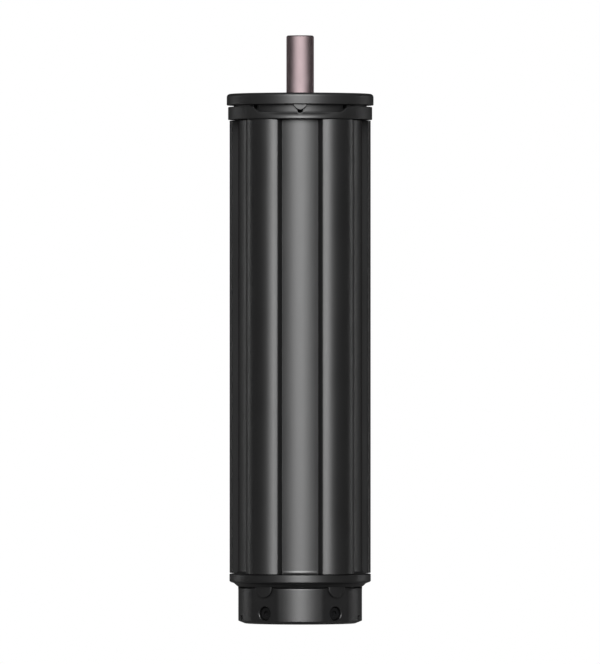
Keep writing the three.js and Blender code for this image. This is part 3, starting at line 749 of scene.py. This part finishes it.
def crown_section(x):
    """Outline at x. The outer wall is upright where the crown is high, and leans back
    in a large round in the low windows."""
    wall_round, wall_start = 3.3, rad(4)
    foot, top_round, inner_round = 0.14, 0.30, 0.25
    top = crown_top(x)
    lean = max(0.0, min(1.0, (17.0 - x) / 10.0))
    lean = lean * lean * (3 - 2 * lean)
    base = CROWN_Z0 + foot
    wall_top = base + (top - top_round - base)

    def wall(z):
        t = math.asin(min(0.9, math.sin(wall_start) + (z - base) / wall_round))
        return CROWN_R - lean * wall_round * (math.cos(wall_start) - math.cos(t)), lean * t

    line = [
        (RING_BORE, CROWN_Z0), (CROWN_R - foot, CROWN_Z0),
        (CROWN_R - 0.04, CROWN_Z0 + 0.04), (CROWN_R, base),
    ]
    for k in range(1, 7):
        z = base + (top - top_round - base) * k / 6
        line.append((wall(z)[0], z))
    r, first = wall(wall_top)
    for k in range(1, 9):
        t = first + (math.pi / 2 - first) * k / 8
        rise = (math.sin(t) - math.sin(first)) / (1 - math.sin(first))
        line.append((r - top_round * (math.cos(first) - math.cos(t)), wall_top + top_round * rise))
    for k in range(4):
        t = math.pi / 2 * k / 3
        line.append((CROWN_IN + inner_round * (1 - math.sin(t)), top - inner_round * (1 - math.cos(t))))
    return line + [(CROWN_IN, 183.9), (RING_BORE, 183.9)]


def crown():
    quarter = crown_quarter()
    # round from the front by +X to the back, and home by -X
    columns = [(x, share, 1, False) for x, share in quarter]
    columns += [(x, share, 1, True) for x, share in reversed(quarter[:-1])]
    columns += [(x, share, -1, True) for x, share in quarter[1:]]
    columns += [(x, share, -1, False) for x, share in reversed(quarter[1:-1])]
    verts = []
    for x, share, side, at_back in columns:
        section = crown_section(x)
        for r, z in section:
            azimuth = math.degrees(math.asin(x / r))
            azimuth += (90 - azimuth) * share
            if at_back:
                azimuth = 180 - azimuth
            verts.append(at(r, azimuth * side, z))
    faces = grid(len(columns), len(section), wrap_columns=True, wrap_rows=True)
    return solid("crown_ring_band", verts, faces)


# ------------------------------------------------------------------ front flange
def pointed_tab():
    """Small V-shaped tab under the flange's rim, in front of its inner wall."""
    points = rounded([
        (-2.6, 188.9), (-2.35, 187.65, 0.25), (-1.15, 186.55, 0.4), (0.0, 186.12, 0.4),
        (1.15, 186.55, 0.4), (2.35, 187.65, 0.25), (2.6, 188.9),
    ], 4)
    edge = 0.22
    rows = [(0.0, 23.8), (0.0, TAB_R - edge), (edge * 0.3, TAB_R - edge * 0.3), (edge, TAB_R)]
    return loft("tab", [[(x, -r, z) for x, z in shrunk(points, inset)] for inset, r in rows])


def front_flange():
    flange = turned("front_flange_cap", rounded([
        (26.7, 192.45, 1.2), (26.7, 188.3, 0.25), (24.2, 188.3, 0.2), (24.2, 184.1, 0.12),
        (20.9, 184.1, 0.12), (20.9, 180.3, 0.3), (8.0, 180.3, 0.2), (8.0, 188.2),
        (5.5, 188.2, 0.1), (5.5, 189.6), (8.5, 189.6), (8.5, 192.45, 0.25),
    ], 6), 192)
    lock_hole = [(0, 7), (1.06, 7), (1.06, 24.6), (0, 24.6)]
    side_hole = [(0, 19), (0.95, 19), (0.95, 24.0), (1.15, 24.2), (1.15, 26.2), (0, 26.2)]
    cuts = []
    for azimuth in (0, 180):
        cuts.append(radial(turned("lock_hole", lock_hole, 36), azimuth, LOCK_Z))
        for side in (-1, 1):
            hole = turned("side_hole", side_hole, 32)
            cuts.append(radial(hole, azimuth + side * 42.2, 187.25))
    join(flange, cuts, "DIFFERENCE")
    return join(flange, [turn(pointed_tab(), azimuth) for azimuth in (0, 180)], "UNION")


def lock_screw(name, azimuth):
    outline = rounded([(0, 8.05), (0.5, 8.05, 0.1), (0.95, 8.5, 0.1), (0.95, 14, 0.16), (0, 14)], 4)
    return hex_screw(name, outline, 32, 0.5, (12.8, 15), azimuth, LOCK_Z)


# ------------------------------------------------------------------ seal, bush, output pin
def shaft_seal():
    return turned("shaft_seal_ring", rounded([
        (8.2, 189.9, 0.2), (8.2, 192.2, 0.35), (5.45, 192.2, 0.25), (5.09, 191.8, 0.05),
        (5.09, 191.5, 0.05), (5.7, 191.2, 0.12), (5.7, 189.9, 0.2),
    ], 4), 128)


def output_bush():
    outline = rounded([(5.06, 181.4), (7.7, 181.4), (7.7, 187.9), (5.06, 187.9)], 3, 0.3)
    return turned("output_bush_sleeve", outline, 96)


def output_pin():
    chamfer = 0.42
    return turned("output_pin", rounded([
        (0, 176.6), (PIN_R, 176.6, 0.3), (PIN_R, 179.6, 0.2), (6.6, 179.6, 0.2),
        (6.6, 181.1, 0.2), (PIN_R, 181.1, 0.2), (PIN_R, 213.7 - chamfer, 0.12),
        (PIN_R - chamfer, 213.7, 0.12), (0, 213.7),
    ], 4), 128)


# ------------------------------------------------------------------ lower collar
def tongue():
    """Round-ended tongue lying on a cylinder, its outer edges rounded."""
    half, end, top = 3.6, 9.7, 15.5  # half width, lowest and highest z
    inner_r, outer_r, edge = 22.25, 22.9, 0.22
    across = 12
    turns = [math.pi / 2 * k / 4 for k in range(1, 5)]
    rows = [(0.0, inner_r), (0.0, outer_r - edge)]  # (inset, radius)
    rows += [(edge * (1 - math.cos(t)), outer_r - edge + edge * math.sin(t)) for t in turns]
    verts, faces = [], []

    def side(inset):
        """(half width, height) from the top down to the round end."""
        width = half - inset
        ends = [math.pi / 2 * k / 14 for k in range(15)]
        line = [(width, top), (width, end + half + 0.9)]
        return line + [(width * math.cos(t), end + half - width * math.sin(t)) for t in ends]

    def on(x, r, z):
        return at(r, math.degrees(x / outer_r), z)

    def row(width, r, z):
        return [on(-width + 2 * width * i / across, r, z) for i in range(across + 1)]

    def patch(lines):
        faces.extend(grid(len(lines), len(lines[0]), first=len(verts)))
        for line in lines:
            verts.extend(line)

    def border(inset, r):
        line = side(inset)
        return [on(-w, r, z) for w, z in line] + [on(w, r, z) for w, z in reversed(line)]

    for inset, r in (rows[0], rows[-1]):
        patch([row(width, r, z) for width, z in side(inset)])
    patch([border(inset, r) for inset, r in rows])
    patch([row(half - inset, r, top) for inset, r in rows])
    return solid("tongue", verts, faces)


def root_fillet():
    """Concave fillet rising from the collar's top face at the foot of a groove."""
    half_angle, inner_r, outer_r, width, height = 15.6, 22.67, 24.1, 1.3, 1.5
    turns = [math.pi / 2 * i / 9 for i in range(1, 10)]
    line = [(inner_r, COLLAR_TOP - 0.5), (outer_r, COLLAR_TOP - 0.5), (outer_r, COLLAR_TOP)]
    line += [
        (outer_r - width * math.sin(t), COLLAR_TOP + height * (1 - math.cos(t))) for t in turns
    ]
    line.append((inner_r, COLLAR_TOP + height))
    azimuths = [-half_angle + 2 * half_angle * i / 24 for i in range(25)]
    return loft("root", [[at(r, azimuth, z) for r, z in line] for azimuth in azimuths])


def lower_collar():
    collar = turned("collar_ring_with_tongues", rounded([
        (RING_BORE, 13.5, 0.1), (22.85, 13.5, 0.12), (24.05, 14.6, 0.8), (25.25, 15.0, 0.6),
        (25.7, 15.35, 0.3), (25.7, COLLAR_TOP, 0.25), (RING_BORE, COLLAR_TOP, 0.1),
    ], 5), 192)
    tongues = [turn(tongue(), azimuth) for azimuth in LOBES]
    roots = [turn(root_fillet(), PITCH * k) for k in range(5)]
    return join(collar, tongues + roots, "UNION")


# ------------------------------------------------------------------ end cap
def cap_columns():
    """(azimuth, largest radius): round between the lobes, a flat pad under each lobe."""
    columns = []
    for lobe in LOBES:
        start, end = lobe - PITCH + PAD_HALF, lobe - PAD_HALF
        columns += [(start + (end - start) * i / 23, PLUG_R) for i in range(24)]
        for i in range(1, 16):
            across = -PAD_HALF + 2 * PAD_HALF * i / 16
            columns.append((lobe + across, PAD_FLAT / math.cos(rad(across))))
    return columns


def socket_outline(half_width, half_height, corner):
    y0, y1 = SOCKET_Y - half_height, SOCKET_Y + half_height
    return rounded(rectangle(-half_width, half_width, y0, y1), 5, corner)


def end_cap():
    cap = turned("end_cap_plug", rounded([
        (0, 0), (20.1, 0, 0.25), (PLUG_R, 0.95, 0.3), (PLUG_R, 13.2, 0.6), (21.2, 13.2, 0.15),
        (21.2, 18.4), (20.9, 18.6), (20.9, 26, 0.3), (18.8, 26, 0.2), (18.8, 13.2),
        (16.8, 12.4), (16.8, 3, 0.4), (0, 3),
    ], 6), cap_columns())
    # two upright rails inside, slotted along X
    rails = [rectangle(-19.6, -15.0, -2.4, 2.4), rectangle(15.0, 19.6, -2.4, 2.4)]
    join(cap, [prism("rail", rail, 13.5, 36) for rail in rails], "UNION")
    cuts = [prism("slot", rectangle(-16.4, 16.4, -1.1, 1.1), 19.8, 40)]
    screw_seat = [
        (0, 17.9), (1.5, 17.9), (1.5, 19.6), (2.55, 19.6), (2.55, 21.6), (2.75, 21.82),
        (2.75, 24), (0, 24),
    ]
    cuts += [radial(turned("seat", screw_seat, 48), lobe, CAP_SCREW_Z) for lobe in LOBES]
    for side in (-1, 1):
        recess = prism("rim_recess", rectangle(-1.5, 1.5, -25, -21.1), 1.45, 3.05)
        cuts.append(turn(recess, PITCH * side))
    opening = socket_outline(6.8, 3.8, 0.5)
    cuts.append(prism("socket", opening, -1, 4))
    cuts.append(prism("socket_edge", shrunk(opening, -0.3), -1, 0.25))
    button_hole = [(0, -1), (2.85, -1), (2.85, 0.01), (2.55, 0.3), (2.55, 4), (0, 4)]
    cuts.append(shifted(turned("button", button_hole, 48), BUTTON_AT))
    led_hole = [(0, -1), (2.05, -1), (2.05, 0.01), (1.8, 0.25), (1.8, 4), (0, 4)]
    cuts.append(shifted(turned("led", led_hole, 40), LED_AT))
    return join(cap, cuts, "DIFFERENCE")


def cap_screw(number, azimuth):
    outline = rounded([
        (0, 18.2), (1.3, 18.2, 0.3), (1.3, 19.9), (2.3, 19.9, 0.12), (2.3, 20.9, 0.28), (0, 20.9),
    ], 4)
    name = f"cap_screw_socket_head_{number}"
    return hex_screw(name, outline, 48, 1.25, (20.0, 22), azimuth, CAP_SCREW_Z)


# ------------------------------------------------------------------ socket, button, light
def socket_housing():
    shell = prism("socket_housing", socket_outline(6.5, 3.5, 0.45), 0.3, 15, edge=0.25)
    inner = socket_outline(5.3, 2.3, 0.3)
    well = prism("well", inner, 0.0, 9.0)
    mouth_rows = [(-0.5, 0.0), (0.02, 0.72)]  # (inset, height)
    mouth = loft("mouth", [[(x, y, z) for x, y in shrunk(inner, d)] for d, z in mouth_rows])
    key = prism("key", rounded(rectangle(-1.2, 1.2, 11.0, 12.1), 3, 0.15), 0.0, 7.0)
    return join(shell, [well, mouth, key], "DIFFERENCE")


def contact_pins():
    """Four square pins in the socket, tapered at their lower ends."""
    half, pitch = 0.32, 2.2
    verts, faces = [], []
    for k in range(4):
        x = pitch * (k - 1.5)
        faces += loft_faces(3, 4, first=len(verts))
        for z, s in ((9.3, half), (3.6, half), (3.0, half * 0.55)):
            square = rectangle(x - s, x + s, SOCKET_Y - s, SOCKET_Y + s)
            verts += [(px, py, z) for px, py in square]
    return solid("socket_contact_pins", verts, faces)


def set_button():
    return shifted(turned("set_button_cap", rounded([
        (0, 0.62), (1.5, 0.55, 0.6), (2.3, 0.4, 0.22), (2.3, 3.4, 0.1), (3.3, 3.4, 0.2),
        (3.3, 4.6, 0.2), (1.6, 4.6, 0.2), (1.6, 18.5, 0.2), (0, 18.5),
    ], 4), 64), BUTTON_AT)


def light_pipe():
    return shifted(turned("status_light_pipe", rounded([
        (0, 0.2), (1.0, 0.24, 0.4), (1.5, 0.75, 0.5), (1.5, 19.4, 0.2), (0, 19.4),
    ], 5), 48), LED_AT)


# ------------------------------------------------------------------ build
place(profile_tube(), "housing", "black_anodised", "profile_housing")
place(crown(), "housing", "black_diecast", "crown_ring", sharp=38)
place(front_flange(), "housing", "black_diecast", "front_flange", sharp=30)
for node, azimuth in (("bush_lock_screw_front", 0), ("bush_lock_screw_back", 180)):
    place(lock_screw(node + "_set", azimuth), "housing", "black_screw", node)
place(shaft_seal(), "housing", "seal_rubber", "shaft_seal")
place(output_bush(), "housing", "bronze_bush", "output_bush")
place(output_pin(), "output", "pin_steel", "output_shaft")
place(lower_collar(), "housing", "black_plastic", "lower_collar", sharp=32)
place(end_cap(), "housing", "black_plastic", "end_cap", sharp=30)
for number, azimuth in enumerate(LOBES, 1):
    place(cap_screw(number, azimuth), "housing", "black_screw", f"end_cap_screw_{number}")
place(socket_housing(), "housing", "socket_plastic", "connector_socket")
place(contact_pins(), "housing", "gear_brass", sharp=30)
place(set_button(), "set_button", "button_plastic", "set_button")
place(light_pipe(), "housing", "led_lens", "status_led")

# finishes on the CAD pieces that stay
slots = {part["node"]: part["material_slot"] for part in frame["record"]["subparts"]}
for name, ob in frame["nodes"].items():
    if ob.hide_render:
        continue
    ob.data.materials.clear()
    ob.data.materials.append(material(slots[name]))


# ------------------------------------------------------------------ floor, light, camera
WHITE = (1, 1, 1)


def floor_material():
    """White to the camera, dark to the light it would throw back, open from below."""
    mat = bpy.data.materials.new("studio_floor")
    tree = Tree(mat)
    seen = tree.add("LightPath").outputs["Is Camera Ray"]
    below = tree.add("NewGeometry").outputs["Backfacing"]
    white = tree.add("Emission", {"Color": WHITE, "Strength": 1.0})
    dark = tree.add("Emission", {"Color": WHITE, "Strength": 0.10})
    top = tree.mix_shader(seen, dark, white)
    both = tree.mix_shader(below, top, tree.add("BsdfTransparent"))
    tree.add("OutputMaterial", {"Surface": both.outputs[0]})
    return mat


def studio_floor():
    half, z = 9, -0.0002
    mesh = bpy.data.meshes.new("studio_floor")
    corners = [(x, y, z) for x, y in rectangle(-half, half, -half, half)]
    mesh.from_pydata(corners, [], [(0, 1, 2, 3)])
    floor = bpy.data.objects.new("studio_floor", mesh)
    bpy.context.scene.collection.objects.link(floor)
    mesh.materials.append(floor_material())


def sun(name, azimuth, elevation, strength, angle):
    """A distant soft light from a direction round the object."""
    light = bpy.data.lights.new(name, "SUN")
    light.energy = strength
    light.angle = rad(angle)
    ob = bpy.data.objects.new(name, light)
    bpy.context.scene.collection.objects.link(ob)
    a, e = rad(azimuth), rad(elevation)
    back = Vector((math.sin(a) * math.cos(e), -math.cos(a) * math.cos(e), math.sin(e)))
    ob.rotation_mode = "QUATERNION"
    ob.rotation_quaternion = back.to_track_quat("Z", "Y")


def direction_ramp(tree, source, stops):
    """Grey by a direction's component, -1 to 1. Stops are (position, value), both ends first."""
    ramp = tree.add("ValToRGB", {0: tree.math("MULTIPLY_ADD", source, 0.5, 0.5)})
    elements = ramp.color_ramp.elements
    for k, (position, value) in enumerate(stops):
        element = elements[k] if k < 2 else elements.new(position)
        element.position = position
        element.color = (value, value, value, 1)
    return ramp.outputs[0]


def studio_world():
    """White to the camera; other rays get light by height times light by depth."""
    world = bpy.data.worlds.new("studio")
    bpy.context.scene.world = world
    tree = Tree(world)
    seen = tree.add("LightPath").outputs["Is Camera Ray"]
    direction = tree.add("SeparateXYZ", {0: tree.add("TexCoord").outputs["Generated"]}).outputs
    # from the floor (0) to the sky (1)
    height = direction_ramp(tree, direction[2], [(0.0, 0.2), (1.0, 1.3), (0.5, 1.0)])
    # from the back (0) to the camera's side (1)
    depth = direction_ramp(tree, tree.math("MULTIPLY", direction[1], -1.0), [
        (0.0, 0.02), (1.0, 0.09), (0.12, 0.025), (0.25, 0.055), (0.5, 0.10), (0.63, 0.13),
        (0.85, 0.09),
    ])
    inputs = {0: 1.0, 6: depth, 7: height}
    both = tree.add("Mix", inputs, data_type="RGBA", blend_type="MULTIPLY").outputs[2]
    dim = tree.add("Background", {"Color": both, "Strength": 1.0})
    white = tree.add("Background", {"Color": WHITE, "Strength": 1.0})
    mixed = tree.mix_shader(seen, dim, white)
    tree.add("OutputWorld", {"Surface": mixed.outputs[0]})


def front_camera():
    """Long lens, level, looking along +Y."""
    data = bpy.data.cameras.new("camera")
    data.sensor_fit = "AUTO"
    data.sensor_width = 36.0
    data.lens = 579.0
    data.clip_start = 0.1
    data.clip_end = 60.0
    camera = bpy.data.objects.new("camera", data)
    bpy.context.scene.collection.objects.link(camera)
    camera.location = (-0.00005, -3.884, 0.1059)
    camera.rotation_euler = (rad(90), 0, 0)
    bpy.context.scene.camera = camera


studio_floor()
sun("key", azimuth=0, elevation=20, strength=3.28, angle=36)
sun("side_left", azimuth=-121, elevation=4, strength=0.07, angle=8)
sun("side_right", azimuth=121, elevation=4, strength=0.07, angle=8)
studio_world()
front_camera()
view = bpy.context.scene.view_settings
view.view_transform = "Standard"
view.look = "None"
view.exposure = 0.0
view.gamma = 1.0
